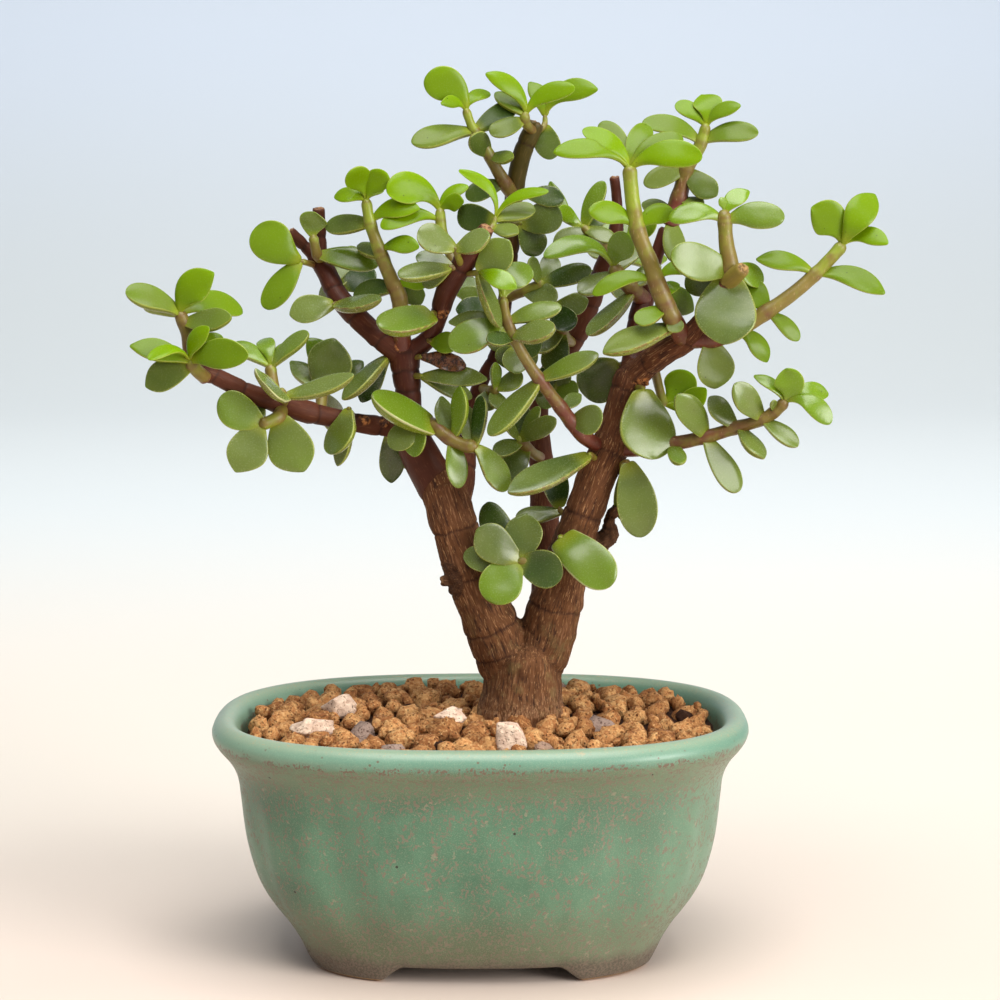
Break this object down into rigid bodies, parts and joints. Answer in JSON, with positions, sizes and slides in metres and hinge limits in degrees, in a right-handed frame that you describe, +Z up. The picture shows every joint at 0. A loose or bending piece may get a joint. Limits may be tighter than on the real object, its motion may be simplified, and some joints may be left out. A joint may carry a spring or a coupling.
{
  "type": "potted dwarf jade bonsai",
  "caption": "Small tree-shaped succulent with a forked woody trunk and round fleshy leaves, growing in granular soil in a low soft-cornered glazed pot on feet.",
  "frame": {"origin": "on the standing surface, under the middle of the whole outline", "axes": "+Z up, +X to the viewer's right along the pot's long side, +Y away from the viewer"},
  "size_m": [0.1748, 0.094, 0.212],
  "materials": {
    "glazed_pot": "satin teal-green glaze",
    "screen_mesh": "matte black mesh",
    "akadama_soil": "rough ochre clay granules",
    "pumice": "rough pale pumice",
    "bark": "fibrous brown bark",
    "mature_leaf": "waxy dark green leaf",
    "young_leaf": "waxy yellow-green leaf"
  },
  "bodies": {
    "root": {"centre_right_lens_shoot": "mature_leaf", "centre_small_shoot": "mature_leaf", "drainage_screen_left": "screen_mesh", "drainage_screen_right": "screen_mesh", "far_left_front_shoot": "young_leaf", "far_left_upright_shoot": "young_leaf", "fork_cluster": "mature_leaf", "front_middle_shoot": "mature_leaf", "left_fork_front_leaves": "mature_leaf", "left_fork_rear_leaf": "mature_leaf", "left_middle_bright_leaf": "young_leaf", "left_middle_broad_leaf": "mature_leaf", "left_middle_low_shoot": "mature_leaf", "left_neck_dried_leaf": "mature_leaf", "left_neck_leaves": "mature_leaf", "left_neck_long_leaves": "mature_leaf", "low_left_dark_shoot": "mature_leaf", "low_left_front_leaves": "mature_leaf", "low_left_hanging_shoot": "mature_leaf", "low_left_lens_shoot": "mature_leaf", "low_left_top_shoot": "mature_leaf", "middle_left_boat_leaves": "mature_leaf", "middle_left_lens_leaves": "mature_leaf", "middle_left_young_shoot": "young_leaf", "middle_ring_leaves": "mature_leaf", "middle_yellow_shoot": "young_leaf", "pot": "glazed_pot", "pumice_stone_1": "pumice", "pumice_stone_2": "pumice", "pumice_stone_3": "pumice", "pumice_stone_4": "pumice", "rear_limb_leaves": "mature_leaf", "rear_low_cluster": "mature_leaf", "rear_outer_shoot": "mature_leaf", "rear_right_bright_leaves": "young_leaf", "rear_small_shoot": "mature_leaf", "right_far_shoot": "young_leaf", "right_limb_dark_leaf": "mature_leaf", "right_limb_hanging_leaves": "mature_leaf", "right_limb_long_leaf": "mature_leaf", "right_limb_olive_leaves": "mature_leaf", "right_limb_round_leaf": "mature_leaf", "right_limb_tilted_leaf": "mature_leaf", "right_low_shoot": "mature_leaf", "right_tall_shoot": "young_leaf", "right_top_shoot": "young_leaf", "right_upright_shoot": "mature_leaf", "soil_bed": "akadama_soil", "top_left_shoot": "young_leaf", "top_limb_grey_leaf": "mature_leaf", "top_limb_middle_leaves": "mature_leaf", "top_limb_side_leaves": "mature_leaf", "top_tip_left_shoot": "young_leaf", "top_tip_right_shoot": "young_leaf", "trunk_and_limbs": "bark", "upper_left_broad_leaves": "young_leaf", "upper_left_low_leaves": "mature_leaf", "upper_left_rear_leaf": "mature_leaf", "upper_left_short_shoot": "mature_leaf", "upper_left_tall_shoot": "young_leaf"}
  },
  "joints": []
}
